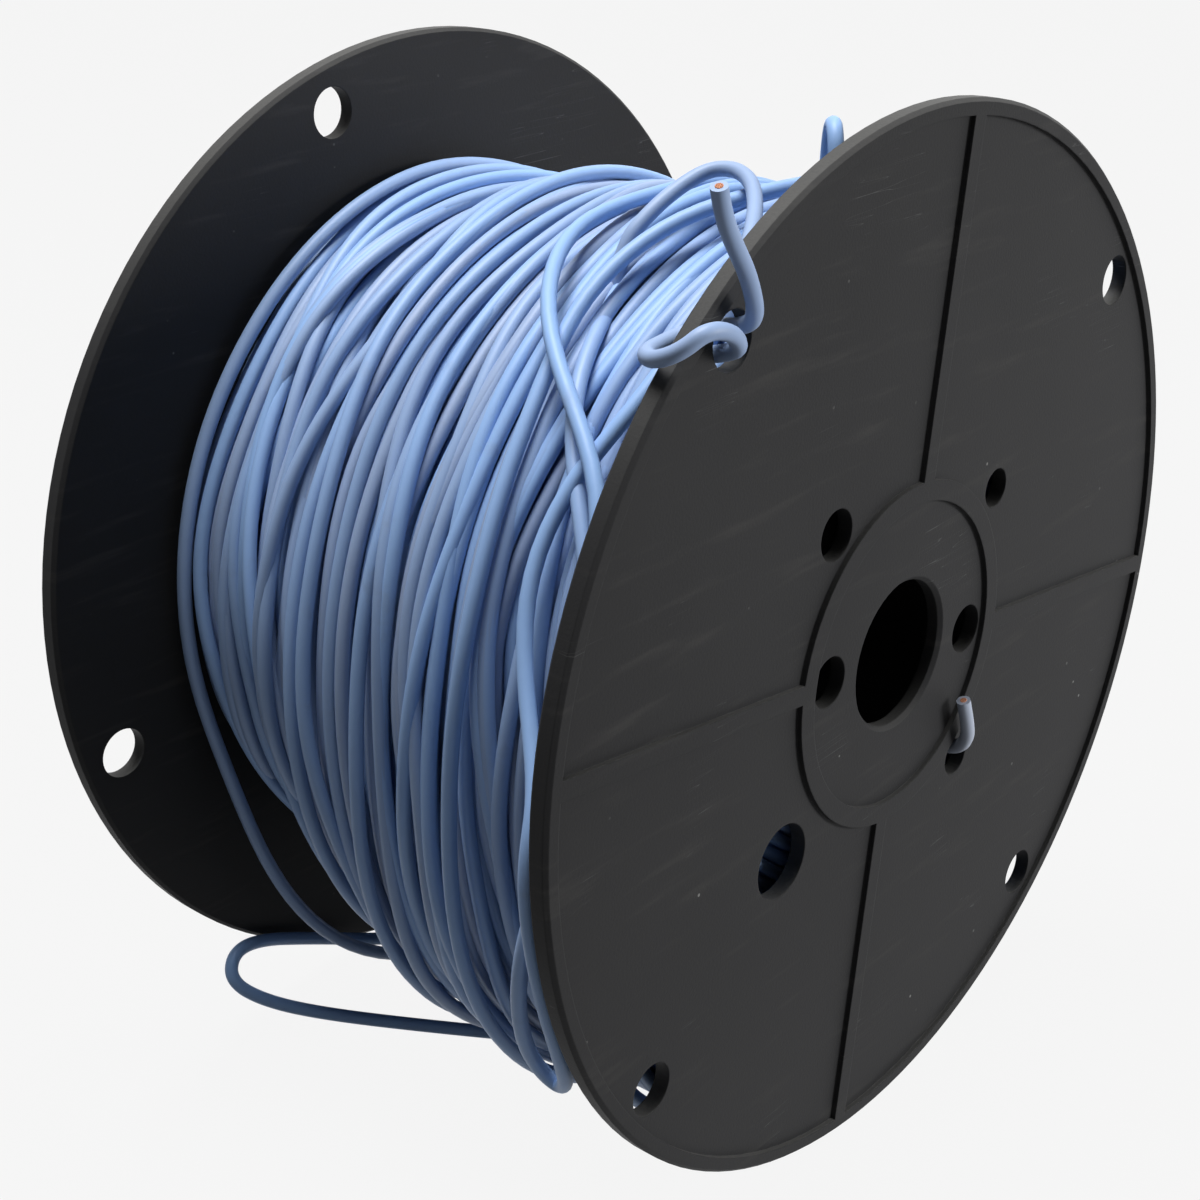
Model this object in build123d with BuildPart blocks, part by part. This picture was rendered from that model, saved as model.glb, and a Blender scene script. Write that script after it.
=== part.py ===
from build123d import *
import math
import os

# A moulded plastic wire spool standing on its two rims, part full of wire.
# Units are millimetres. The origin is the middle of the spool, the spool's axis
# is Y, the flange with the tied wire end faces -Y, and +Z is up.

# Spool: two like flanges on a barrel
flange_diameter = 203.2
overall_width = 124.3
panel_thickness = 3.0
relief_height = 1.0
rim_lip_width = 3.0
rim_chamfer = 0.7
rib_width = 3.6
rib_count = 4
rib_angle = 82.2
back_flange_turn = 37.1
overrun = 2.0

# Barrel and the ring groove that seats each of its ends
barrel_diameter = 66.4
barrel_wall = 3.0
seat_depth = 1.6
seat_clearance = 0.1
hub_ring_margin = 0.45

# Holes through each flange, on the diagonals between the ribs or on a rib's line
bore_diameter = 28.6
bore_chamfer = 0.8
drive_hole_diameter = 9.8
drive_hole_circle = 48.2
drive_hole_count = 2
rim_hole_diameter = 10.0
rim_hole_inset = 9.1
tie_hole_offset = 6.3
wide_tie_hole_diameter = 9.6
narrow_tie_hole_diameter = 7.8
start_hole_diameter = 14.6
start_hole_offset = 12.7

# Wire: a heap of turns on the barrel, slack enough to hang to the floor
wire_diameter = 2.8
pack_clearance = 0.1
side_clearance = 0.3
pack_back_radius = 73.0
pack_middle_radius = 80.0
pack_front_radius = 83.0
slack_upper_radius = 76.0
slack_lower_radius = 64.0
slack_floor_gap = 2.6
slack_back_inset = 28.0
slack_front_inset = 2.0
slack_taper = 10.0
arc_run_share = 0.45

flange_radius = flange_diameter / 2
flange_thickness = panel_thickness + relief_height
traverse = overall_width - 2 * flange_thickness
barrel_radius = barrel_diameter / 2
barrel_bore_radius = barrel_radius - barrel_wall
barrel_length = traverse + 2 * seat_depth
hub_ring_outer_radius = barrel_radius + hub_ring_margin
hub_ring_inner_radius = barrel_bore_radius - hub_ring_margin
rim_lip_inner_radius = flange_radius - rim_lip_width
rib_length = rim_lip_inner_radius - hub_ring_outer_radius + rim_lip_width
rib_middle_radius = (rim_lip_inner_radius + hub_ring_outer_radius) / 2
diagonal_step = 360 / rib_count
diagonal_angle = rib_angle - diagonal_step / 2
rim_hole_radius = flange_radius - rim_hole_inset
tie_hole_radius = barrel_radius + tie_hole_offset
start_hole_radius = barrel_radius + start_hole_offset

# Planes seen from outside: the inner face of each flange, looking outwards
front_inner_plane = Plane.XZ.offset(traverse / 2)
back_turn = math.radians(back_flange_turn)
back_turned_axis = (-math.cos(back_turn), 0, math.sin(back_turn))
back_inner_plane = Plane(origin=(0, traverse / 2, 0), x_dir=back_turned_axis, z_dir=(0, 1, 0))

# Routes of the loose wire, as points chosen by hand. Those of the two ends are measured from the
# hole that each end comes through, at its centre on the front flange's inner face.
tied_end_offsets = [
    (19.9, 37.6, -3.5),
    (23.6, 38.2, 3.3),
    (29.4, 36.5, 8.5),
    (35.9, 35.2, 11.9),
    (41.1, 33.0, 14.3),
    (42.5, 28.3, 14.9),
    (40.3, 23.1, 13.9),
    (35.4, 18.6, 11.7),
    (27.9, 13.6, 9.9),
    (17.9, 8.1, 6.8),
    (8.4, 6.6, 2.7),
    (1.9, 6.4, -0.3),
    (-1.7, 4.1, -3.5),
    (-1.5, -1.9, -1.9),
    (-3.4, -7.1, 0.3),
    (-7.9, -8.9, 4.3),
    (-13.6, -8.4, 5.9),
    (-18.7, -5.9, 4.8),
    (-19.3, -1.2, 2.5),
    (-14.6, 2.9, 0.3),
    (-6.7, 3.8, 0.5),
    (0.3, 1.9, 1.5),
    (1.7, -3.4, 1.8),
    (-0.1, -7.6, 4.6),
    (-4.5, -8.9, 12.1),
    (-8.9, -9.4, 17.5),
    (-12.7, -9.9, 22.9),
    (-14.4, -10.4, 27.3),
]
inner_end_offsets = [
    (-0.7, 11.6, -0.7),
    (0.0, 2.1, -0.1),
    (-0.1, -4.5, 1.1),
    (-1.0, -7.4, 5.3),
    (-2.7, -7.6, 10.3),
    (-4.5, -7.1, 15.3),
]
floor_loop_route = [
    (-2.0, -27.0, -93.5),
    (-14.0, -15.0, -98.2),
    (-28.0, 1.0, -100.0),
    (-43.0, 26.0, -99.9),
    (-56.5, 42.5, -96.9),
    (-66.0, 50.0, -91.8),
    (-71.8, 53.5, -85.4),
    (-69.0, 55.5, -80.6),
    (-61.6, 55.8, -81.0),
    (-47.0, 55.6, -88.0),
    (-31.0, 53.4, -95.5),
    (-17.0, 44.8, -98.4),
    (-6.0, 32.0, -96.4),
    (4.0, 20.0, -91.0),
]
top_bight_route = [
    (-4.0, -42.5, 78.0),
    (-6.2, -44.0, 88.0),
    (-8.4, -46.0, 98.2),
    (-13.6, -50.4, 97.8),
    (-14.6, -51.6, 87.6),
    (-12.0, -51.0, 78.0),
]


def route_from_hole(hole_radius, hole_angle, offsets):
    """The points of a route that are given from the centre of a hole in the front flange."""
    turn = math.radians(hole_angle)
    across = hole_radius * math.cos(turn)
    up = hole_radius * math.sin(turn)
    return [(across + x, y - traverse / 2, up + z) for x, y, z in offsets]


tied_end_route = route_from_hole(rim_hole_radius, diagonal_angle + diagonal_step, tied_end_offsets)
inner_end_route = route_from_hole(tie_hole_radius, diagonal_angle - diagonal_step, inner_end_offsets)


def moulded_flange(inner_plane, name):
    """One flange: a thin panel with a raised rim lip, hub ring and radial ribs outside."""
    panel_plane = inner_plane.offset(panel_thickness)
    with BuildPart() as flange:
        with BuildSketch(inner_plane):
            Circle(flange_radius)
        extrude(amount=panel_thickness)

        with BuildSketch(panel_plane):
            Circle(flange_radius)
            Circle(rim_lip_inner_radius, mode=Mode.SUBTRACT)
            Circle(hub_ring_outer_radius)
            Circle(hub_ring_inner_radius, mode=Mode.SUBTRACT)
            with PolarLocations(rib_middle_radius, rib_count, start_angle=rib_angle):
                Rectangle(rib_length, rib_width)
        extrude(amount=relief_height)

        rim_corners = flange.edges().filter_by(GeomType.CIRCLE).group_by(SortBy.RADIUS)[-1]
        chamfer(rim_corners, length=rim_chamfer)

        # Ring groove in the inner face, where the barrel's end sits
        with BuildSketch(inner_plane):
            Circle(barrel_radius + seat_clearance)
            Circle(barrel_bore_radius - seat_clearance, mode=Mode.SUBTRACT)
        extrude(amount=seat_depth, mode=Mode.SUBTRACT)

        with BuildSketch(inner_plane):
            Circle(bore_diameter / 2)
            drive_angle = rib_angle + diagonal_step
            with PolarLocations(drive_hole_circle / 2, drive_hole_count, start_angle=drive_angle):
                Circle(drive_hole_diameter / 2)
            with PolarLocations(rim_hole_radius, rib_count, start_angle=diagonal_angle):
                Circle(rim_hole_diameter / 2)
            with PolarLocations(tie_hole_radius, 1, start_angle=diagonal_angle + diagonal_step):
                Circle(wide_tie_hole_diameter / 2)
            for diagonal in (diagonal_angle, diagonal_angle - diagonal_step):
                with PolarLocations(tie_hole_radius, 1, start_angle=diagonal):
                    Circle(narrow_tie_hole_diameter / 2)
            with PolarLocations(start_hole_radius, 1, start_angle=diagonal_angle + 2 * diagonal_step):
                Circle(start_hole_diameter / 2)
        extrude(amount=flange_thickness + overrun, mode=Mode.SUBTRACT)

        bore_mouth = (
            flange.edges()
            .filter_by(GeomType.CIRCLE)
            .filter_by(lambda edge: math.isclose(edge.radius, bore_diameter / 2))
            .sort_by(Axis(inner_plane.origin, inner_plane.z_dir))[-1]
        )
        chamfer(bore_mouth, length=bore_chamfer)
    flange.part.label = name
    return flange


def corner_radii(route):
    """The largest arc that each corner's two runs leave room for."""
    radii = []
    for before, corner, after in zip(route, route[1:], route[2:]):
        run_in = Vector(corner) - Vector(before)
        run_out = Vector(after) - Vector(corner)
        half_turn = math.radians(run_in.get_angle(run_out)) / 2
        shorter_run = min(run_in.length, run_out.length)
        radii.append(arc_run_share * shorter_run / math.tan(half_turn))
    return radii


def wire_along(route, name):
    """A length of wire: straight runs joined by tangent arcs."""
    radii = corner_radii(route)
    with BuildPart() as wire:
        with BuildLine() as path:
            FilletPolyline(*route, radius=radii)
        with BuildSketch(Plane(origin=path.line @ 0, z_dir=path.line % 0)):
            Circle(wire_diameter / 2)
        sweep()
    length = path.wire().length
    section = math.pi * wire_diameter**2 / 4
    volume_share = wire.part.volume / (section * length)
    print(f"{name}: {length:.1f} mm long, volume share {volume_share:.4f}")
    print("  radii", [round(radius, 1) for radius in radii])
    wire.part.label = name
    return wire


front_flange = moulded_flange(front_inner_plane, "front_flange")
back_flange = moulded_flange(back_inner_plane, "back_flange")

with BuildPart() as barrel:
    with BuildSketch(Plane.XZ):
        Circle(barrel_radius)
        Circle(barrel_bore_radius, mode=Mode.SUBTRACT)
    extrude(amount=barrel_length / 2, both=True)
barrel.part.label = "barrel"

inner_wire_end = wire_along(inner_end_route, "inner_wire_end")

# The winding is a turned heap on the barrel, and below it the slack of its outer turns, which
# hang in a wider curve down to the floor
pack_bore_radius = barrel_radius + pack_clearance
pack_half_width = traverse / 2 - side_clearance
slack_drop = flange_radius - slack_floor_gap - slack_lower_radius
slack_width = traverse - slack_back_inset - slack_front_inset
with BuildPart() as slack_turns:
    with BuildSketch(Plane.XZ.offset(traverse / 2 - slack_front_inset)):
        with BuildLine():
            CenterArc((0, 0), slack_upper_radius, 0, 360)
            CenterArc((0, -slack_drop), slack_lower_radius, 0, 360)
        make_hull()
    extrude(amount=-slack_width)
    slack_back_rim = slack_turns.faces().sort_by(Axis.Y)[-1].edges()
    chamfer(slack_back_rim, length=slack_taper)

with BuildPart() as wire_winding:
    with BuildSketch(Plane.XY):
        with BuildLine():
            Polyline(
                (pack_back_radius, pack_half_width),
                (pack_middle_radius, 0),
                (pack_front_radius, -pack_half_width),
                (0, -pack_half_width),
                (0, pack_half_width),
                close=True,
            )
        make_face()
    revolve(axis=Axis.Y)
    add(slack_turns.part)
    with BuildSketch(Plane.XZ):
        Circle(pack_bore_radius)
    extrude(amount=overall_width / 2, both=True, mode=Mode.SUBTRACT)
    add(inner_wire_end.part, mode=Mode.SUBTRACT)
wire_winding.part.label = "wire_winding"

# Loose stretches of wire end where they enter the pack
loose_wires = []
for name, route in (
    ("tied_wire_end", tied_end_route),
    ("floor_loop", floor_loop_route),
    ("top_bight", top_bight_route),
):
    stretch = wire_along(route, name)
    with BuildPart() as loose_wire:
        add(stretch.part)
        add(wire_winding.part, mode=Mode.SUBTRACT)
    loose_wire.part.label = name
    loose_wires.append(loose_wire)

os.makedirs("parts", exist_ok=True)
for piece in (front_flange, back_flange, barrel, wire_winding, inner_wire_end, *loose_wires):
    export_step(piece.part, f"parts/{piece.part.label}.step")
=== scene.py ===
# %% [markdown]
# # A plastic spool of blue wire
# The real object is a black moulded spool, standing on its two rims, with part of its insulated
# wire still on it. The spool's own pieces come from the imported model, already in place, so this
# lesson dresses them and lays the wire. We start by loading that fixed frame and keeping its box,
# because the dressed object has to stay inside it.

# %% Load the frame
import math

import bpy
import numpy as np
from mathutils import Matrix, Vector


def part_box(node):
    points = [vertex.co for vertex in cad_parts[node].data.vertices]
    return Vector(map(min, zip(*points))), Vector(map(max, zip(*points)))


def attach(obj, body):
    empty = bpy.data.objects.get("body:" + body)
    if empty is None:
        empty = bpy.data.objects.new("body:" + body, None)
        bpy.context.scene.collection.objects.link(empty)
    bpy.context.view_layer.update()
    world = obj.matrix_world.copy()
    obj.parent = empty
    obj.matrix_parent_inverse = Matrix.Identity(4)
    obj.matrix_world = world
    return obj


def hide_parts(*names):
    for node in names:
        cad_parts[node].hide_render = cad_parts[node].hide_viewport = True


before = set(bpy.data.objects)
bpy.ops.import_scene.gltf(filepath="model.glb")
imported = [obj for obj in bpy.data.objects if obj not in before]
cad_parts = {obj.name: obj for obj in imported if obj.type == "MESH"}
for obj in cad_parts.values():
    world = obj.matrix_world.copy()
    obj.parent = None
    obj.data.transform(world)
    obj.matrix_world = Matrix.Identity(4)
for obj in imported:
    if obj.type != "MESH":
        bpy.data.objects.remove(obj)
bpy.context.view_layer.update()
MM = 0.001

# %% [markdown]
# The sizes that everything else follows are read from the frame: the front flange's box gives the
# rim radius and the floor, the two inner faces give the room between the flanges, and the barrel's
# box gives the radius on which the first turns lie. The wire's diameter is the one size that no box
# gives directly, so it is named here.

# %% Sizes from the frame
wire_diameter = 2.8 * MM
wire_radius = wire_diameter / 2
front_low, front_high = (Vector(corner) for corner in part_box("front_flange"))
back_low = Vector(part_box("back_flange")[0])
barrel_high = Vector(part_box("barrel")[1])
rim_radius = front_high.z
floor_height = front_low.z
front_inner_face = front_high.y
back_inner_face = back_low.y
barrel_radius = barrel_high.x
flange_room = back_inner_face - front_inner_face
print(f"rim radius {rim_radius / MM:.1f} mm, room between flanges {flange_room / MM:.1f} mm")

# %% [markdown]
# The camera stands where the photograph was taken: to the left of the front flange and a little
# above the spool. Its place is given as an angle round the spool, an angle above the floor and a
# distance, and it looks at a point near the middle of the winding.

# %% Camera
camera_azimuth = math.radians(-50.25)
camera_elevation = math.radians(24.15)
camera_distance = 409.0 * MM
camera_target = Vector((-14.0, 0.0, -1.6)) * MM
towards_camera = Vector(
    (
        math.sin(camera_azimuth) * math.cos(camera_elevation),
        -math.cos(camera_azimuth) * math.cos(camera_elevation),
        math.sin(camera_elevation),
    )
)
camera_data = bpy.data.cameras.new("camera")
camera_data.sensor_width = 36
camera_data.lens = 61.6
camera_data.clip_start = 0.01
camera = bpy.data.objects.new("camera", camera_data)
camera.location = camera_target + towards_camera * camera_distance
camera.rotation_euler = towards_camera.to_track_quat("Z", "Y").to_euler()
bpy.context.collection.objects.link(camera)
bpy.context.scene.camera = camera
print("camera at", [round(value / MM) for value in camera.location], "mm")

# %% [markdown]
# Materials are sums of simple patterns, so it pays to write them as sums. The class below wraps a
# shader socket and gives it the arithmetic operators: each one adds a Math node. One method makes
# any other node from its type, its settings and the values or links of its sockets.

# %% A small language for materials
class Field:
    """A value that varies over a surface: a socket with arithmetic."""

    def __init__(self, finish, socket):
        self.finish = finish
        self.socket = socket

    def math(self, operation, first, second):
        return self.finish.node("ShaderNodeMath", {"operation": operation}, {0: first, 1: second})

    def __add__(self, other):
        return self.math("ADD", self, other)

    __radd__ = __add__

    def __sub__(self, other):
        return self.math("SUBTRACT", self, other)

    def __rsub__(self, other):
        return self.math("SUBTRACT", other, self)

    def __mul__(self, other):
        return self.math("MULTIPLY", self, other)

    __rmul__ = __mul__


class Finish:
    """A material under construction."""

    def __init__(self, name):
        self.material = bpy.data.materials.new(name)
        self.material.use_nodes = True
        self.tree = self.material.node_tree
        self.shader = self.tree.nodes["Principled BSDF"]

    def link(self, value, socket):
        if isinstance(value, Field):
            self.tree.links.new(value.socket, socket)
        else:
            socket.default_value = value

    def node(self, kind, settings=None, sockets=None, output=0):
        made = self.tree.nodes.new(kind)
        for key, value in (settings or {}).items():
            setattr(made, key, value)
        for key, value in (sockets or {}).items():
            self.link(value, made.inputs[key])
        return Field(self, made.outputs[output])

    def surface(self, **values):
        """Feed the shader's own sockets and hand over the finished material."""
        for key, value in values.items():
            label = key.replace("_", " ").title().replace("Ior", "IOR")
            self.link(value, self.shader.inputs[label])
        return self.material

    def place(self):
        return self.node("ShaderNodeTexCoord", output="Object")

    def drawn_out(self, rotation, scale):
        """The place, turned and stretched, for patterns that run one way."""
        sockets = {"Vector": self.place(), "Rotation": rotation, "Scale": scale}
        return self.node("ShaderNodeMapping", {}, sockets)

    def noise(self, scale, detail=2.0, roughness=0.5, where=None):
        sockets = {"Scale": scale, "Detail": detail, "Roughness": roughness}
        sockets["Vector"] = where or self.place()
        return self.node("ShaderNodeTexNoise", {}, sockets)

    def band(self, value, low, high):
        """0 below low, 1 above high, and a smooth step between them."""
        settings = {"interpolation_type": "SMOOTHSTEP"}
        sockets = {"Value": value, "From Min": low, "From Max": high}
        return self.node("ShaderNodeMapRange", settings, sockets)

    def blend(self, share, first, second):
        """A mix of two colours: the first where share is 0, the second where it is 1."""
        sockets = {0: share, 6: first, 7: second}
        return self.node("ShaderNodeMix", {"data_type": "RGBA"}, sockets, output=2)

    def bump(self, height, strength, distance, normal=None):
        sockets = {"Height": height, "Strength": strength, "Distance": distance}
        if normal:
            sockets["Normal"] = normal
        return self.node("ShaderNodeBump", {}, sockets)


# %% [markdown]
# The spool is black polystyrene straight from the mould. It isn't one flat black: the skin has a
# fine grain, handling has rubbed paler smears and straight hairline scratches into it, and dust
# sits on it, as tiny specks all over and as a grey film on what faces up. A mould leaves no knife
# edges either, so a Bevel node rounds the corners for the light. All of that is small, so it is
# left to the material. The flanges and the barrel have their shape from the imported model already
# and only take the plastic on.

# %% Spool plastic
mould_black = (0.019, 0.019, 0.020, 1)
worn_black = (0.034, 0.034, 0.035, 1)
rubbed_grey = (0.050, 0.049, 0.048, 1)
scratch_grey = (0.12, 0.12, 0.12, 1)
speck_grey = (0.36, 0.36, 0.35, 1)
film_grey = (0.11, 0.109, 0.105, 1)
hairline_width = 0.00002
corner_radius = 0.4 * MM


def spool_plastic():
    finish = Finish("spool_plastic")
    grain = finish.noise(1800, detail=3)
    cloud = finish.noise(14, detail=4)
    along_smears = finish.drawn_out((0.3, 0.9, 0.5), (1, 1, 9))
    smear = finish.band(finish.noise(38, detail=5, where=along_smears), 0.54, 0.80)
    along_scratches = finish.drawn_out((0.2, 0.6, 0.3), (0.6, 0.6, 26))
    hairline = finish.noise(30, detail=1, where=along_scratches) - 0.5
    handled = finish.band(finish.noise(45), 0.58, 0.66)
    scratch = (1 - finish.band(hairline * hairline, 0.0, hairline_width)) * handled
    points = {"Vector": finish.place(), "Scale": 170.0}
    specks = finish.node("ShaderNodeTexVoronoi", {}, points, output="Distance")
    dust = (1 - finish.band(specks, 0.035, 0.07)) * finish.band(finish.noise(60), 0.55, 0.7)
    facing = finish.node("ShaderNodeNewGeometry", output="Normal")
    upward = finish.node("ShaderNodeSeparateXYZ", {}, {0: facing}, output="Z")
    film = finish.band(upward, 0.45, 0.95) * (cloud * 0.9 + grain * 0.3)
    black = finish.blend(cloud, mould_black, worn_black)
    rubbed = finish.blend(smear * 0.6, black, rubbed_grey)
    scratched = finish.blend(scratch * 0.4, rubbed, scratch_grey)
    specked = finish.blend(dust * 0.6, scratched, speck_grey)
    dusty = finish.blend(film, specked, film_grey)
    rounded = finish.node("ShaderNodeBevel", {"samples": 4}, {"Radius": corner_radius})
    relief = grain * 0.6 + cloud * 0.4
    return finish.surface(
        base_color=dusty,
        specular_ior_level=0.06,
        roughness=0.46 + cloud * 0.10 + smear * 0.10,
        normal=finish.bump(relief, strength=0.18, distance=0.0004, normal=rounded),
    )


plastic = spool_plastic()
for node in ("front_flange", "back_flange", "barrel"):
    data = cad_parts[node].data
    data.materials.clear()
    data.materials.append(plastic)
    print("dressed", node)

# %% [markdown]
# The wire's jacket is extruded PVC, a light sky blue. Where one length was handled more than the
# next it has gone a little greyer, so every turn carries its own tone as an attribute, and short
# grey rubs lie on it. The two ends have been handled most, so each has one grey tone all over. A
# low bump keeps the highlight from looking like polished glass. The copper at the cuts has gone
# dull in patches.

# %% Wire jacket and copper
clean_blue = (0.25, 0.41, 0.71, 1)
pale_blue = (0.32, 0.48, 0.77, 1)
handled_grey = (0.27, 0.34, 0.50, 1)
dusty_grey = (0.42, 0.45, 0.52, 1)
rub_grey = (0.22, 0.25, 0.32, 1)
bright_copper = (0.62, 0.29, 0.17, 1)
dull_copper = (0.30, 0.14, 0.08, 1)


def wire_jacket(name, handled=None, grey=handled_grey):
    finish = Finish(name)
    tone = handled
    if handled is None:
        tone = finish.node("ShaderNodeAttribute", {"attribute_name": "tone"}, output="Fac")
    broad = finish.noise(22, detail=3)
    fine = finish.noise(420, detail=4)
    rub = finish.band(finish.noise(75, detail=6, roughness=0.65), 0.58, 0.74)
    blue = finish.blend(tone, clean_blue, grey)
    uneven = finish.blend(broad * 0.35, blue, pale_blue)
    rubbed = finish.blend(rub * 0.22, uneven, rub_grey)
    return finish.surface(
        base_color=rubbed,
        specular_ior_level=0.3,
        roughness=0.40 + broad * 0.10 + rub * 0.12,
        normal=finish.bump(fine, strength=0.10, distance=0.0003),
    )


def cut_copper():
    finish = Finish("cut_copper")
    dull = finish.noise(2500, detail=2)
    return finish.surface(
        base_color=finish.blend(dull, bright_copper, dull_copper),
        metallic=1.0,
        roughness=0.38 + dull * 0.2,
    )


jacket = wire_jacket("wire_jacket")
handled_jacket = wire_jacket("handled_jacket", handled=0.85)
dusty_jacket = wire_jacket("dusty_jacket", handled=1.0, grey=dusty_grey)
copper = cut_copper()
print("wire finishes", [made.name for made in (jacket, handled_jacket, dusty_jacket, copper)])

# %% [markdown]
# Four stretches of the wire are free of the winding: the tied end, the inner end, a loop on the
# floor and a bight on top. Each is one smooth curve through the air, so a NURBS spline with a round
# bevel suits it: the control points pull the line without kinking it. The points are those of the
# solid model, in millimetres, with a few of the two ends' moved to follow the photograph.

# %% Loose stretches of wire
tied_end_route = [
    (-34.53, -19.35, 66.18),
    (-32.33, -19.95, 76.98),
    (-26.53, -21.65, 82.18),
    (-20.03, -22.95, 85.58),
    (-14.83, -25.15, 87.98),
    (-13.43, -29.85, 88.58),
    (-15.63, -35.05, 87.58),
    (-20.53, -39.55, 85.38),
    (-28.03, -44.55, 83.58),
    (-38.03, -50.05, 80.48),
    (-47.53, -51.55, 76.38),
    (-54.03, -51.75, 73.38),
    (-57.63, -54.05, 70.18),
    (-57.43, -60.05, 71.78),
    (-59.33, -65.25, 73.98),
    (-63.83, -67.05, 77.98),
    (-69.53, -66.55, 79.58),
    (-72.63, -64.05, 76.48),
    (-73.13, -59.35, 74.28),
    (-70.53, -55.25, 73.98),
    (-62.63, -54.35, 74.18),
    (-55.63, -56.25, 75.18),
    (-54.23, -61.55, 75.48),
    (-56.03, -65.75, 78.28),
    (-60.43, -67.05, 85.78),
    (-64.83, -67.55, 91.18),
    (-68.63, -68.05, 96.58),
    (-70.33, -68.55, 100.98),
]
inner_end_route = [
    (23.18, -46.55, -31.66),
    (23.68, -56.05, -30.26),
    (23.58, -61.85, -29.26),
    (22.48, -64.45, -25.66),
    (21.08, -64.75, -21.06),
    (19.48, -64.45, -16.16),
]
floor_loop_route = [
    (-2.0, -27.0, -93.5),
    (-14.0, -15.0, -98.2),
    (-28.0, 1.0, -100.0),
    (-43.0, 26.0, -99.9),
    (-56.5, 42.5, -96.9),
    (-66.0, 50.0, -91.8),
    (-71.8, 53.5, -85.4),
    (-69.0, 55.5, -80.6),
    (-61.6, 55.8, -81.0),
    (-47.0, 55.6, -88.0),
    (-31.0, 53.4, -95.5),
    (-17.0, 44.8, -98.4),
    (-6.0, 32.0, -96.4),
    (4.0, 20.0, -91.0),
]
top_bight_route = [
    (-4.0, -42.5, 78.0),
    (-6.2, -44.0, 88.0),
    (-8.4, -46.0, 98.2),
    (-13.6, -50.4, 97.8),
    (-14.6, -51.6, 87.6),
    (-12.0, -51.0, 78.0),
]


def loose_wire(name, route, length, node, finish):
    """One free stretch of wire along its route, in place of the model's part, which it hides."""
    curve = bpy.data.curves.new(name, "CURVE")
    curve.dimensions = "3D"
    curve.resolution_u = 10
    curve.bevel_depth = wire_radius
    curve.bevel_resolution = 5
    curve.use_fill_caps = True
    spline = curve.splines.new("NURBS")
    spline.points.add(len(route) - 1)
    for point, place in zip(spline.points, route):
        point.co = (*(Vector(place) * MM), 1)
    spline.order_u = 3
    spline.use_endpoint_u = True
    curve.materials.append(finish)
    piece = bpy.data.objects.new(name, curve)
    bpy.context.collection.objects.link(piece)
    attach(piece, "root")
    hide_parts(node)
    print(name, f"{length / MM:.0f} mm of wire")


# %% [markdown]
# What repeats is left to Geometry Nodes. A tree is a recipe: it has named inputs for its sizes, it
# grows node by node, and it ends by making its instances real and giving them their material. Each
# tree runs once on a mesh of points or lines, and the result is kept as a plain mesh.

# %% Helpers for Geometry Nodes
def node_tree(name, inputs):
    """An empty geometry tree with a geometry output and the named inputs."""
    tree = bpy.data.node_groups.new(name, "GeometryNodeTree")
    tree.interface.new_socket("Geometry", in_out="INPUT", socket_type="NodeSocketGeometry")
    sockets = {}
    for label, kind in inputs.items():
        socket = tree.interface.new_socket(label, in_out="INPUT", socket_type=kind)
        sockets[label] = socket.identifier
    tree.interface.new_socket("Geometry", in_out="OUTPUT", socket_type="NodeSocketGeometry")
    return tree, sockets


def grow(tree, kind, links=None, **settings):
    """A node of the tree, with its settings and its links or values by socket."""
    made = tree.nodes.new(kind)
    for key, value in settings.items():
        setattr(made, key, value)
    for key, value in (links or {}).items():
        if isinstance(value, bpy.types.NodeSocket):
            tree.links.new(value, made.inputs[key])
        else:
            made.inputs[key].default_value = value
    return made


def close_tree(tree, shape, material):
    """Make the shape real, smooth and finished, and send it out."""
    smooth = grow(tree, "GeometryNodeSetShadeSmooth", {"Geometry": shape})
    real = grow(tree, "GeometryNodeRealizeInstances", {"Geometry": smooth.outputs[0]})
    paint = {"Geometry": real.outputs[0], "Material": material}
    painted = grow(tree, "GeometryNodeSetMaterial", paint)
    grow(tree, "NodeGroupOutput", {"Geometry": painted.outputs[0]})


def frozen(name, source, tree, values, material):
    """A plain mesh piece: the tree run once on the source mesh."""
    base = bpy.data.objects.new(name + "_source", source)
    bpy.context.collection.objects.link(base)
    modifier = base.modifiers.new("tree", "NODES")
    modifier.node_group = tree
    for identifier, value in values.items():
        modifier[identifier] = value
    evaluated = base.evaluated_get(bpy.context.evaluated_depsgraph_get())
    mesh = bpy.data.meshes.new_from_object(evaluated)
    bpy.data.objects.remove(base)
    mesh.name = name
    if material.name not in [slot.name for slot in mesh.materials if slot]:
        mesh.materials.clear()
        mesh.materials.append(material)
    piece = bpy.data.objects.new(name, mesh)
    bpy.context.collection.objects.link(piece)
    print(name, len(mesh.polygons), "faces")
    return piece


# %% [markdown]
# Where the wire was cut, its strands show: a bundle of fine copper ends in a ring of jacket. The
# strands repeat, so the first tree lays them, a short cylinder on each of a few points that stand
# in rings round the wire's middle.

# %% Copper strands at the cut ends
strand_radius = 0.13 * MM
strand_proud = 0.15 * MM
strand_sides = 8
strand_rings = ((0, 1), (1, 6), (2, 12))

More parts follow.
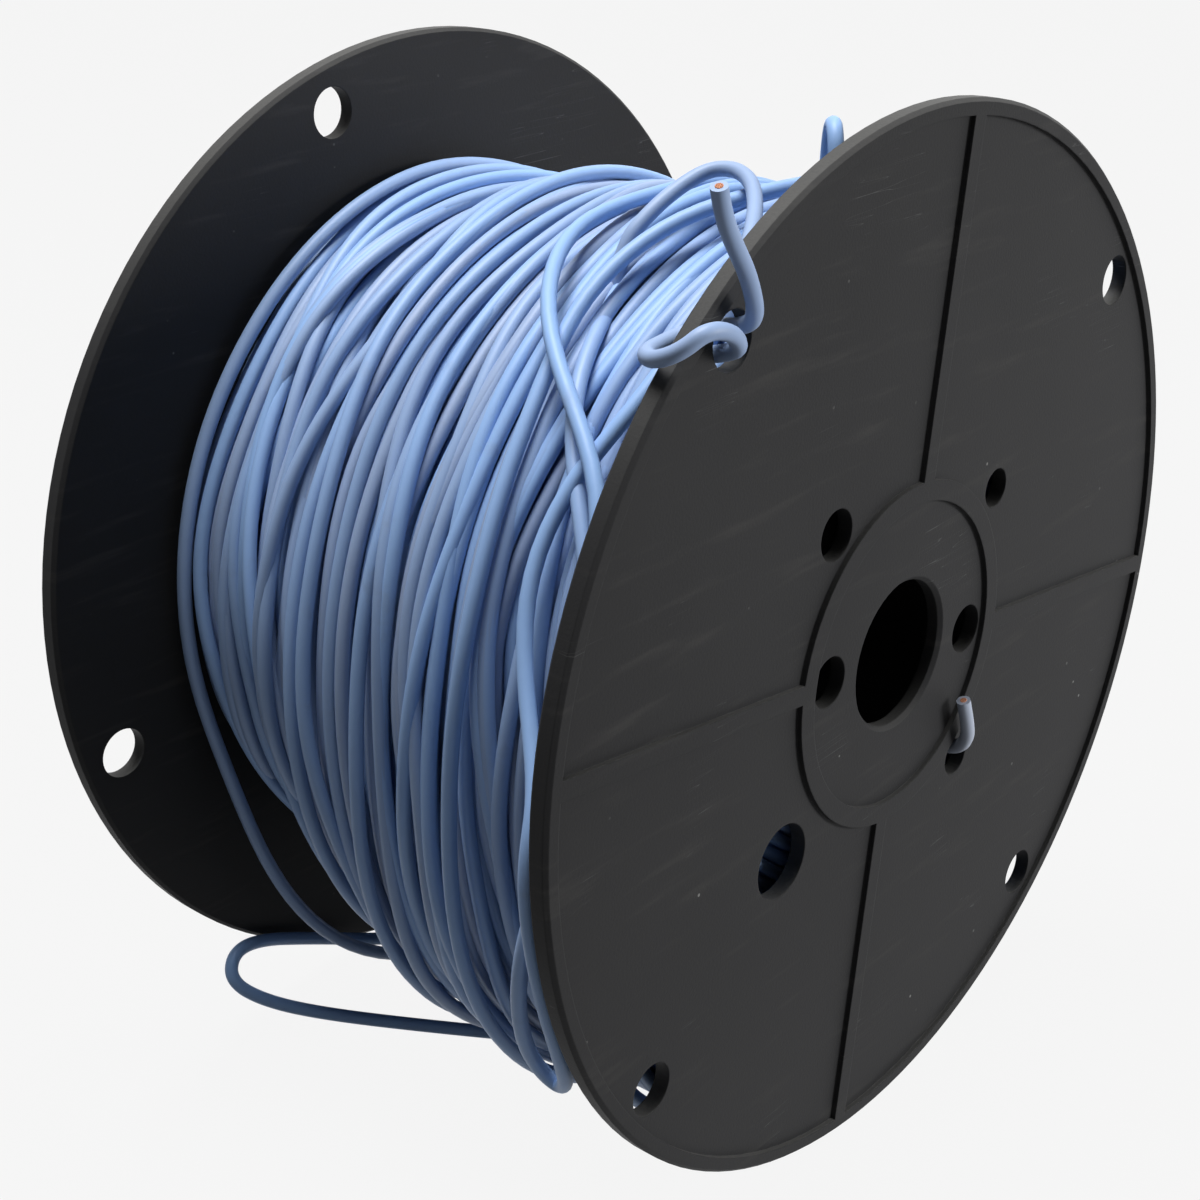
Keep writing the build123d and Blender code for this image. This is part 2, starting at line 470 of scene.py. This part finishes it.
strand_tree, strand_inputs = node_tree(
    "copper_strands",
    {
        "Strand Radius": "NodeSocketFloat",
        "Strand Length": "NodeSocketFloat",
        "Direction": "NodeSocketVector",
    },
)
strand_in = grow(strand_tree, "NodeGroupInput").outputs
strand = grow(
    strand_tree,
    "GeometryNodeMeshCylinder",
    {
        "Vertices": strand_sides,
        "Radius": strand_in["Strand Radius"],
        "Depth": strand_in["Strand Length"],
    },
)
turned = grow(
    strand_tree,
    "FunctionNodeAlignRotationToVector",
    {"Vector": strand_in["Direction"]},
    axis="Z",
)
bundle = grow(
    strand_tree,
    "GeometryNodeInstanceOnPoints",
    {
        "Points": strand_in["Geometry"],
        "Instance": strand.outputs["Mesh"],
        "Rotation": turned.outputs[0],
    },
)
close_tree(strand_tree, bundle.outputs[0], copper)


def cut_strands(name, route):
    """The copper bundle at the end of a route, standing a little proud of the jacket."""
    end = Vector(route[-1]) * MM
    along = (Vector(route[-1]) - Vector(route[-2])).normalized()
    side = along.orthogonal().normalized()
    across = along.cross(side)
    points = []
    for ring, count in strand_rings:
        for number in range(count):
            turn = math.tau * number / count
            outward = side * math.cos(turn) + across * math.sin(turn)
            points.append(end + outward * ring * 2 * strand_radius)
    mesh = bpy.data.meshes.new(name + "_points")
    mesh.from_pydata(points, [], [])
    values = {
        strand_inputs["Strand Radius"]: strand_radius,
        strand_inputs["Strand Length"]: 2 * strand_proud,
        strand_inputs["Direction"]: along,
    }
    piece = frozen(name, mesh, strand_tree, values, copper)
    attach(piece, "root")
    return piece


tied_copper = cut_strands("tied_end_copper", tied_end_route)
inner_copper = cut_strands("inner_end_copper", inner_end_route)
loose_wire(
    "tied_end",
    tied_end_route,
    length=0.1819,
    node="tied_wire_end",
    finish=handled_jacket,
)
loose_wire(
    "inner_end",
    inner_end_route,
    length=0.0317,
    node="inner_wire_end",
    finish=dusty_jacket,
)
loose_wire("loop_on_floor", floor_loop_route, 0.2074, "floor_loop", jacket)
loose_wire("bight_on_top", top_bight_route, 0.046, "top_bight", jacket)

# %% [markdown]
# The winding is the heart of the picture: one long wire, laid on in layers that get less tidy as
# they go. It could be faked with rings, but rings never cross, and crossings are what make a
# winding look real. So the wire is laid the way a winder lays it, on a map of the heap's height:
# the map has a column for each step round the spool and a row for each small step along it. Every
# new turn looks up how high the heap is under it, rides over that, and raises the map in turn.

# %% The heap's height map
steps_per_turn = 144
row_pitch = 0.4 * MM
wall_gap = 0.3 * MM
lay_low = front_inner_face + wire_radius + wall_gap
lay_high = back_inner_face - wire_radius - wall_gap
rows = np.arange(front_inner_face, back_inner_face + row_pitch, row_pitch)
reach = int(wire_radius / row_pitch)
foot = np.arange(-reach, reach + 1)
foot_rise = np.sqrt(wire_radius**2 - (foot * row_pitch) ** 2)
print("height map of", steps_per_turn, "steps by", len(rows), "rows")

# %% [markdown]
# The finished heap is planned first. It is lower at the back flange, and from the front flange to
# a line some way before the back one its turns are slack enough to hang to the floor. Seen from the
# end, the slack outline runs round two circles: one about the axis, and a lower one, the wide curve
# in which slack turns hang. The map starts a few layers below that outside.

# %% The finished heap's outside
heap_places = np.array((front_inner_face, 0.0, back_inner_face))
heap_radii = np.array((83.0, 80.0, 73.0)) * MM
slack_upper_radius = 76.0 * MM
slack_lower_radius = 64.0 * MM
slack_floor_gap = 2.6 * MM
slack_back_end = back_inner_face - 28.0 * MM
slack_taper = 14.0 * MM
laid_thickness = 12.0 * MM
bottom = -math.pi / 2


def from_bottom(turn):
    """The angle between a direction and straight down."""
    return np.abs((turn - bottom + math.pi) % math.tau - math.pi)


def slack_radius(turn):
    """How far out the slack outline lies, in each direction."""
    drop = -floor_height - slack_floor_gap - slack_lower_radius
    off = from_bottom(turn)
    leaves = math.acos((slack_upper_radius - slack_lower_radius) / drop)
    meets = math.atan2(
        slack_lower_radius * math.sin(leaves),
        drop + slack_lower_radius * math.cos(leaves),
    )
    curve = np.minimum(off, meets)
    hanging = drop * np.cos(curve) + np.sqrt(slack_lower_radius**2 - (drop * np.sin(curve)) ** 2)
    straight = slack_upper_radius / np.cos(np.maximum(leaves - off, 0))
    return np.where(off < meets, hanging, straight)


def heap_surface(turn, places):
    """The outside of the finished heap, for a grid of directions and places."""
    heap = np.interp(places, heap_places, heap_radii)[None, :]
    share = np.clip((slack_back_end - places) / slack_taper, 0, 1)[None, :]
    share = share * share * (3 - 2 * share)
    slack = np.maximum(slack_radius(turn)[:, None] - heap, 0)
    return heap + slack * share


all_turns = np.arange(steps_per_turn) * math.tau / steps_per_turn
outside = heap_surface(all_turns, rows)
height = outside - laid_thickness
print(f"heap's outside from {outside.min() / MM:.1f} to {outside.max() / MM:.1f} mm radius")

# %% [markdown]
# Laying a wire comes down to three questions at each step. Which way does the heap fall? The wire
# slides a little that way. How high is the heap under it? The wire rests on the highest point,
# bridges the dips and bends smoothly. Is there room? It stays off the floor and inside the rims.

# %% Laying wire on the map
floor_gap = 0.3 * MM
nudge = 0.7 * MM
least_fall = 0.05


def eased(values, passes):
    """The values, smoothed along the wire, because wire can't bend sharply."""
    kernel = np.array((0.06, 0.12, 0.2, 0.24, 0.2, 0.12, 0.06))
    margin = len(kernel) // 2
    for _ in range(passes):
        values = np.convolve(np.pad(values, margin, mode="edge"), kernel, mode="valid")
    return values


def bridged(values, span=2):
    """The highest value within a few steps each way: stiff wire bridges the dips."""
    shifted = np.pad(values, span, mode="edge")
    return np.max([shifted[i : i + len(values)] for i in range(2 * span + 1)], axis=0)


def resting_radius(columns, places):
    """How high a wire's middle sits at these places, on what is there already."""
    near = np.rint((places - rows[0]) / row_pitch).astype(int)
    cells = np.clip(near[:, None] + foot[None, :], 0, len(rows) - 1)
    return (height[columns[:, None], cells] + foot_rise[None, :]).max(axis=1), cells


def room_inside(turn):
    """The largest radius that keeps a wire off the floor and inside the rims."""
    down = np.maximum(-np.sin(turn), least_fall)
    above_floor = (-floor_height - wire_radius - floor_gap) / down
    return np.minimum(above_floor, rim_radius - wire_radius)


def round_axis(radii, turn, places):
    """Points at these radii and directions round the axis, and places along it."""
    return np.stack((radii * np.cos(turn), places, radii * np.sin(turn)), axis=1)


def lay_wire(first_step, places, lift=0.0, settling=4):
    """Lay one stretch of wire, lifted off the heap where it is slack, and raise the map."""
    columns = (first_step + np.arange(len(places))) % steps_per_turn
    turn = columns * math.tau / steps_per_turn
    for _ in range(settling):
        here = resting_radius(columns, places)[0]
        left = resting_radius(columns, places - nudge)[0]
        right = resting_radius(columns, places + nudge)[0]
        falls_right = np.where(right < here, nudge, 0.0)
        lower = np.where(left < np.minimum(here, right), -nudge, falls_right)
        places = np.clip(places + eased(lower, passes=10), lay_low, lay_high)
    rest, cells = resting_radius(columns, places)
    room = room_inside(turn)
    radii = np.minimum(eased(bridged(rest), passes=3) + lift, room)
    radii = np.minimum(eased(radii, passes=4), room)
    covered = np.repeat(columns[:, None], len(foot), 1)
    np.maximum.at(height, (covered, cells), radii[:, None] + foot_rise[None, :])
    return round_axis(radii, turn, places)


# %% [markdown]
# Layers first. Each sweep across the spool has a wider pitch and wanders more than the one below.
# The wander is a sum of a few slow waves with random phases from one seeded generator, so the
# winding comes out the same on every run.

# %% Tidy layers
layer_pitches = (2.85, 2.9, 3.05, 3.4)
layer_swings = (0.2, 0.8, 1.8, 3.0)
slowest_wave = 0.15
fastest_wave = 1.1
dice = np.random.default_rng(20)


def wander(count, size, waves=5):
    """A slow random swing along the wire, of about the given size."""
    turns = np.arange(count) / steps_per_turn
    swing = np.zeros(count)
    for rate in dice.uniform(slowest_wave, fastest_wave, waves):
        swing += np.sin(math.tau * (rate * turns + dice.uniform()))
    return size * swing / math.sqrt(waves / 2)


def sweep_across(pitch, swing, forward):
    """The places of one sweep from flange to flange."""
    turns = (lay_high - lay_low) / pitch
    count = int(turns * steps_per_turn)
    start, end = (lay_low, lay_high) if forward else (lay_high, lay_low)
    return np.clip(np.linspace(start, end, count) + wander(count, swing), lay_low, lay_high)


layers = []
laid_steps = 0
for number, (pitch, swing) in enumerate(zip(layer_pitches, layer_swings)):
    places = sweep_across(pitch * MM, swing * MM, number % 2 == 0)
    layers.append(lay_wire(laid_steps, places))
    laid_steps += len(places)
print("laid", round(laid_steps / steps_per_turn), "turns in", len(layers), "layers")

# %% [markdown]
# On top of the layers lie the loose turns. Somebody has drawn wire off and let it spring back, so
# these run on the slant, cross each other, and hang away from the heap underneath. The hang is a
# smooth bulge about the bottom of the spool, with a depth of its own for every turn, and it grows
# from nothing at the front flange.

# %% Loose turns
loose_count = 31
loose_steps = loose_count * steps_per_turn
loose_swing = 5.0 * MM
loose_waves = 9
sway_share = 0.42
sway_cycles = 1.5
sway_start = 0.6
hang_half_angle = math.radians(72)
hang_most = 7.0 * MM
hang_power = 1.3
hang_free_from = 60.0 * MM
end_dip = 5.0 * MM
end_steps = 10


def hang(first_step, depths):
    """How far slack turns hang below the heap, step by step, from a depth for each turn."""
    count = (len(depths) - 1) * steps_per_turn
    turn = (first_step + np.arange(count)) * math.tau / steps_per_turn
    depth = np.interp(np.arange(count) / steps_per_turn, np.arange(len(depths)), depths)
    off = np.clip(from_bottom(turn) / hang_half_angle, 0, 1)
    return depth * np.cos(off * math.pi / 2) ** 2


def tucked(lift):
    """The lift with both ends of the stretch tucked under the turns beside them."""
    share = np.clip(np.arange(len(lift)) / end_steps, 0, 1)
    return lift - end_dip * (1 - share) - end_dip * (1 - share[::-1])


progress = np.arange(loose_steps) / loose_steps
sway = np.cos(math.tau * sway_cycles * progress + sway_start)
swaying = (lay_low + lay_high) / 2 + (lay_high - lay_low) * sway_share * sway
loose_places = swaying + wander(loose_steps, loose_swing, loose_waves)
loose_places = np.clip(loose_places, lay_low, lay_high)
depths = dice.uniform(0, 1, loose_count + 1) ** hang_power * hang_most
freedom = np.clip((loose_places - front_inner_face) / hang_free_from, 0, 1)
loose_lift = tucked(hang(laid_steps, depths) * freedom)
loose_turns = [lay_wire(laid_steps, loose_places, loose_lift)]
print("laid", loose_count, "loose turns")

# %% [markdown]
# The turns that catch the eye are laid last, one by one. One slack turn hangs to the floor close to
# the back flange. Another stretch starts where the tied end goes under the heap and comes round
# three times, crossing the near side of the heap each time. The knots give the degrees round the
# spool, the place along it in millimetres and the lift off the heap.

# %% Turns laid through listed knots
back_turn_knots = (
    (60, 49, -4),
    (90, 53, 0),
    (150, 55, 1),
    (190, 54, 2),
    (206, 53, 4),
    (219, 51, 8),
    (229, 49, 14),
    (240, 46, 22),
    (252, 42, 25),
    (275, 38, 25),
    (300, 36, 14),
    (330, 37, 3),
    (400, 42, 0),
    (440, 46, -4),
)
front_turn_knots = (
    (110, -16, -9),
    (115, -20, -7),
    (119, -23, -4),
    (125, -27, 0),
    (132, -30, 1),
    (141, -37, 2),
    (145, -41, 2.5),
    (149, -48, 2),
    (156, -52, 1),
    (200, -52.4, 0),
    (270, -54, 0),
    (360, -50, 0),
    (420, -44, 1),
    (455, -39, 2.5),
    (460, -33, 3),
    (463, -29, 3),
    (472, -25, 3),
    (481, -22.5, 1.5),
    (486, -22.5, 1),
    (494, -25.5, 0.5),
    (520, -28, 0.5),
    (560, -24, 1),
    (630, -20, 3),
    (720, -16, 0),
    (780, -13, -2),
    (816, -9.5, -2),
    (826, -5, 0),
    (834, -8.5, 3.5),
    (840, -13, 5),
    (847, -20, 6),
    (854, -29.5, 6),
    (859, -41, 5),
    (862, -48, 3.5),
    (868, -52, 3.8),
    (880, -52.4, 3.8),
    (925, -49.4, 0.5),
    (990, -50.5, 0.5),
    (1031, -52, 3.2),
    (1080, -53.5, 0.5),
    (1170, -46, 0),
    (1215, -46, 0.5),
    (1222, -43, 2),
    (1226, -39, 3),
    (1233, -37, 4),
    (1239, -38.5, 4),
    (1245, -43, 4),
    (1249, -48, 4.5),
)


def hand_laid(knots):
    """A stretch of wire through its knots, kept where they put it."""
    degrees, places, lifts = np.array(knots, float).T
    first_step = round(degrees[0] * steps_per_turn / 360)
    at = np.arange(degrees[0], degrees[-1], 360 / steps_per_turn)
    laid_places = eased(np.interp(at, degrees, places * MM), passes=2)
    laid_lifts = eased(np.interp(at, degrees, lifts * MM), passes=2)
    return lay_wire(first_step, np.clip(laid_places, lay_low, lay_high), laid_lifts, settling=0)


front_turn = hand_laid(front_turn_knots)
back_turn = hand_laid(back_turn_knots)
over = (height - outside) / MM
print(f"outermost wire stands {over.mean():.1f} mm from the plan, {over.std():.1f} mm spread")

# %% [markdown]
# That last stretch ends as a bight that hangs free beside the front flange, just inside its rim.
# It touches nothing, so it isn't laid on the map: its knots give the degrees, the place and the
# radius itself, and the join to the laid wire is smoothed with it.

# %% The bight beside the front flange
bight_steps_per_knot = 6
bight_knots = (
    (172, -51, 91),
    (177, -54.2, 95.5),
    (182, -54.6, 98.3),
    (190, -54.7, 98.6),
    (198, -54.7, 98.9),
    (205, -54.2, 99.3),
    (210.5, -52.4, 99.8),
    (213.8, -49.6, 100),
    (214.2, -46.8, 100),
    (211, -45.2, 100),
    (206, -45.8, 99.6),
    (200, -47.8, 98.8),
    (194, -50.2, 97.5),
    (188, -52.8, 95.3),
    (182, -54.3, 92),
    (176, -54.8, 88.2),
    (170, -54.8, 84.8),
    (164, -54.4, 81.5),
    (158, -53.5, 79),
)


def hung_free(knots):
    """A stretch of wire in the air, through knots that give its own radius."""
    degrees, places, radii = np.array(knots, float).T
    corners = round_axis(radii, np.radians(degrees), places) * MM
    at = np.arange(0, len(knots) - 1, 1 / bight_steps_per_knot)
    return np.stack([np.interp(at, np.arange(len(knots)), axis) for axis in corners.T], axis=1)


front_turn = np.concatenate((front_turn, hung_free(bight_knots)))
bight_steps = bight_steps_per_knot * (len(bight_knots) + 1)
smoothed = [eased(axis, passes=3) for axis in front_turn[-bight_steps:].T]
front_turn[-bight_steps:] = np.stack(smoothed, axis=1)
hand_laid_turns = [back_turn, front_turn]
print("hung the bight in", bight_steps, "steps")

# %% [markdown]
# The lines become wire in a second tree: mesh lines to curves, a round profile swept along them,
# and each line's tone carried over to the surface as an attribute that the jacket's material reads.

# %% Lines to wire
tone_middle = 0.35
tone_swing = 0.3
tone_slowest = 0.1
tone_fastest = 0.4
tone_spread = 0.22

wire_tree, wire_inputs = node_tree(
    "wound_wire",
    {"Wire Radius": "NodeSocketFloat", "Sides": "NodeSocketInt"},
)
wire_in = grow(wire_tree, "NodeGroupInput").outputs
line = grow(wire_tree, "GeometryNodeMeshToCurve", {"Mesh": wire_in["Geometry"]})
profile = grow(
    wire_tree,
    "GeometryNodeCurvePrimitiveCircle",
    {"Resolution": wire_in["Sides"], "Radius": wire_in["Wire Radius"]},
)
tube = grow(
    wire_tree,
    "GeometryNodeCurveToMesh",
    {"Curve": line.outputs[0], "Profile Curve": profile.outputs[0], "Fill Caps": True},
)
close_tree(wire_tree, tube.outputs[0], jacket)


def wound_wire(name, stretches, sides, stride=1):
    """One mesh piece for several laid stretches, standing for the winding's solid."""
    points = []
    edges = []
    tones = []
    for stretch in stretches:
        kept = stretch[::stride]
        edges += [(len(points) + i, len(points) + i + 1) for i in range(len(kept) - 1)]
        points += [tuple(place) for place in kept]
        slow = np.arange(len(kept)) * stride / steps_per_turn
        phase = slow * dice.uniform(tone_slowest, tone_fastest) + dice.uniform()
        mood = tone_middle + tone_swing * np.sin(math.tau * phase)
        tones += list(np.clip(mood + dice.normal(0, tone_spread), 0, 1))
    mesh = bpy.data.meshes.new(name + "_lines")
    mesh.from_pydata(points, edges, [])
    mesh.attributes.new("tone", "FLOAT", "POINT").data.foreach_set("value", tones)
    values = {wire_inputs["Wire Radius"]: wire_radius, wire_inputs["Sides"]: sides}
    piece = frozen(name, mesh, wire_tree, values, jacket)
    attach(piece, "root")
    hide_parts("wire_winding")


wound_wire("inner_layers", layers[:2], sides=8, stride=2)
wound_wire("third_layer", layers[2:3], sides=10)
wound_wire("outer_layer", layers[3:], sides=10)
wound_wire("loose_turns", loose_turns, sides=12)
wound_wire("hand_laid_turns", hand_laid_turns, sides=14)

# %% [markdown]
# Through the start hole in each flange the inner turns show. Two rows of arcs stand for them, a
# little way behind that hole and each on a slant of its own; nothing else can see them.

# %% Turns that show through the start holes
arc_gap = 0.1 * MM
arc_count = 10
arc_rows = 2
arc_half_angle = math.radians(40)
arc_steps = steps_per_turn // 4
arc_depth = 4.0 * MM
arc_slant = 0.35
front_start_angle = math.radians(228)
back_start_angle = math.radians(285.7)


def start_hole_arcs(face, side, middle):
    """The arcs behind one start hole; side is the way from the face into the winding."""
    turn = middle + np.linspace(-arc_half_angle, arc_half_angle, arc_steps)
    arcs = []
    for row in range(arc_rows):
        place = face + side * (arc_depth + row * wire_diameter)
        first_radius = barrel_radius + wire_radius + arc_gap + row * wire_radius
        for number in range(arc_count):
            radius = first_radius + (wire_diameter + arc_gap) * number
            slant = dice.normal(0, arc_slant)
            deeper = np.abs(dice.normal(0, wire_radius) + slant * radius * (turn - middle))
            arcs.append(round_axis(radius, turn, place + side * deeper))
    return arcs


front_arcs = start_hole_arcs(front_inner_face, 1, front_start_angle)
back_arcs = start_hole_arcs(back_inner_face, -1, back_start_angle)
wound_wire("end_turns", front_arcs + back_arcs, sides=8)

# %% [markdown]
# The studio is plain: a floor that runs out of sight and a pale surround. Both are bright only for
# rays that come from the camera, from a reflection or through glass. So they look pale, they hardly
# light the object, and the floor keeps a faint shadow.

# %% Floor and surround
floor_half = 4.0
floor_grey = (0.12, 0.12, 0.12, 1)
floor_glow = 0.9
surround_tint = (0.96, 0.98, 1.0, 1)
surround_shown = 0.92
surround_lighting = 0.04
white = (1, 1, 1, 1)


def seen_rays(tree):
    """1 for rays from the camera, a reflection or glass, and 0 for those that only light."""
    rays = grow(tree, "ShaderNodeLightPath").outputs
    seen = grow(tree, "ShaderNodeMath", {0: rays["Is Camera Ray"], 1: rays["Is Glossy Ray"]})
    seen = grow(tree, "ShaderNodeMath", {0: seen.outputs[0], 1: rays["Is Transmission Ray"]})
    return seen.outputs[0]


def studio_floor():
    """A grey floor that is pale where it is seen."""
    finish = Finish("studio_floor")
    finish.surface(base_color=floor_grey, roughness=0.9)
    dull = Field(finish, finish.shader.outputs[0])
    glow = finish.node("ShaderNodeEmission", {}, {"Color": white, "Strength": 1.0})
    share = Field(finish, seen_rays(finish.tree)) * floor_glow
    mixed = finish.node("ShaderNodeMixShader", {}, {0: share, 1: dull, 2: glow})
    finish.link(mixed, finish.tree.nodes["Material Output"].inputs["Surface"])
    return finish.material


def studio_surround():
    """A world that is pale where it is seen, and gives the object only a little light."""
    world = bpy.data.worlds.new("surround")
    world.use_nodes = True
    tree = world.node_tree
    dim = tree.nodes["Background"]
    dim.inputs["Color"].default_value = surround_tint
    dim.inputs["Strength"].default_value = surround_lighting
    pale = grow(tree, "ShaderNodeBackground", {"Color": white, "Strength": surround_shown})
    shares = {0: seen_rays(tree), 1: dim.outputs[0], 2: pale.outputs[0]}
    mixed = grow(tree, "ShaderNodeMixShader", shares)
    tree.links.new(mixed.outputs[0], tree.nodes["World Output"].inputs["Surface"])
    return world


corner_signs = ((-1, -1), (1, -1), (1, 1), (-1, 1))
floor_corners = [(x * floor_half, y * floor_half, floor_height) for x, y in corner_signs]
floor_mesh = bpy.data.meshes.new("floor")
floor_mesh.from_pydata(floor_corners, [], [(0, 1, 2, 3)])
floor_mesh.materials.append(studio_floor())
floor = bpy.data.objects.new("floor", floor_mesh)
bpy.context.collection.objects.link(floor)
bpy.context.scene.world = studio_surround()
print(f"floor at {floor_height / MM:.1f} mm")

# %% [markdown]
# One soft lamp hangs overhead, and a weaker one stands in front of the spool, to the right, for the
# face of the front flange. Neither is in the camera's sight. The Standard view shows a colour about
# as it is written.

# %% Lamps and view
def lamp(name, place, size, power):
    """A soft square lamp that faces the spool, and that the camera doesn't see."""
    data = bpy.data.lights.new(name, "AREA")
    data.size = size
    data.energy = power
    made = bpy.data.objects.new(name, data)
    made.location = place
    made.rotation_euler = Vector(place).to_track_quat("Z", "Y").to_euler()
    made.visible_camera = False
    bpy.context.collection.objects.link(made)
    print(name, "lamp of", power, "W")


lamp("overhead", place=(-0.04, 0.12, 1.0), size=0.5, power=16.5)
lamp("front", place=(0.45, -1.0, 0.25), size=0.4, power=10.5)
bpy.context.scene.view_settings.view_transform = "Standard"
